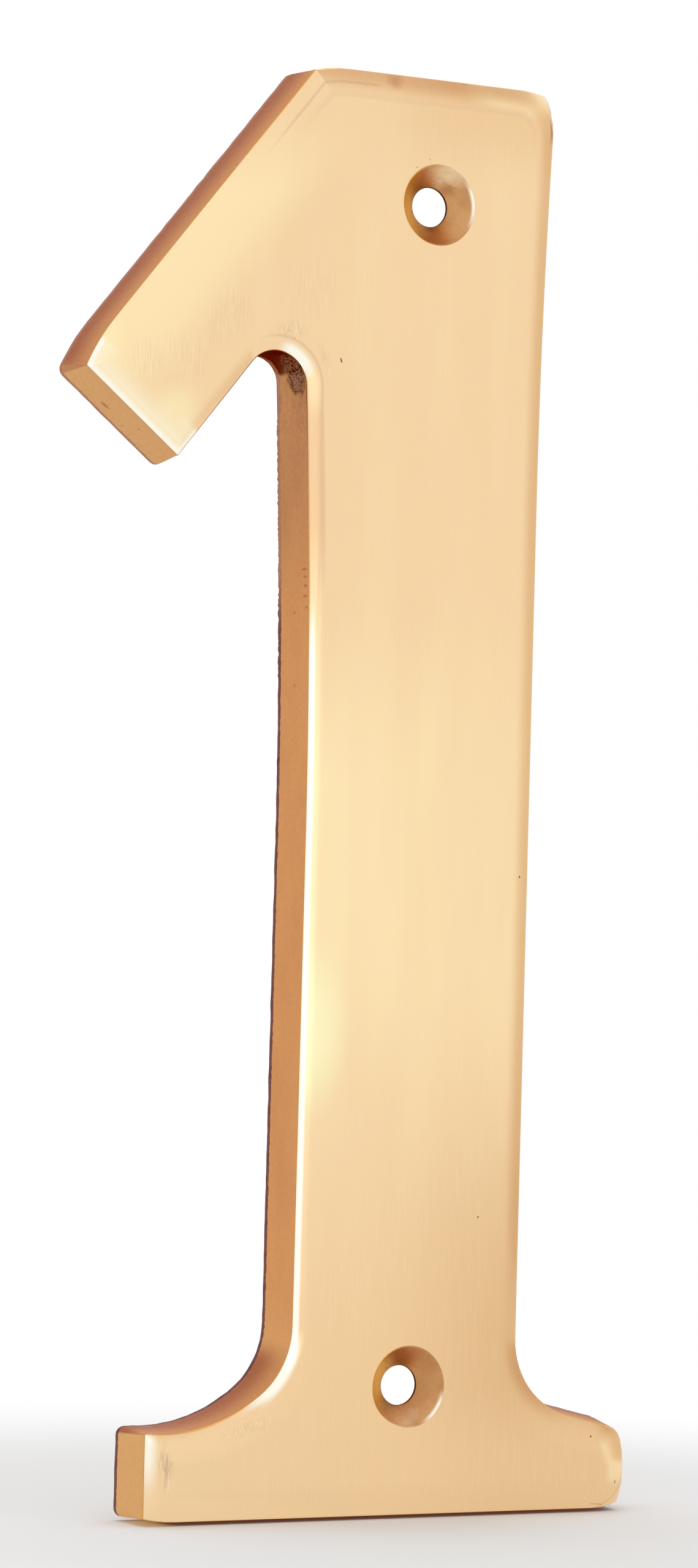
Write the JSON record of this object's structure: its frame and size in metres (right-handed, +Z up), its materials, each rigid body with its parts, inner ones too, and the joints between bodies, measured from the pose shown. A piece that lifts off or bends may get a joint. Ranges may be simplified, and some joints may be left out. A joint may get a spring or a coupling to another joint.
{
  "type": "door number",
  "caption": "Cast brass door numeral, the figure one, with a satin rolled face, a hollow back and countersunk screw holes.",
  "frame": {"origin": "on the wall plane behind the numeral, midway between the two screw holes", "axes": "+Z up the stem as the number is read, -Y out of the polished face, +Y into the wall, +X to the right as the number is read"},
  "size_m": [0.0687, 0.0076, 0.1526],
  "materials": {
    "brass": "satin"
  },
  "bodies": {
    "root": {"numeral": "brass"}
  },
  "joints": []
}
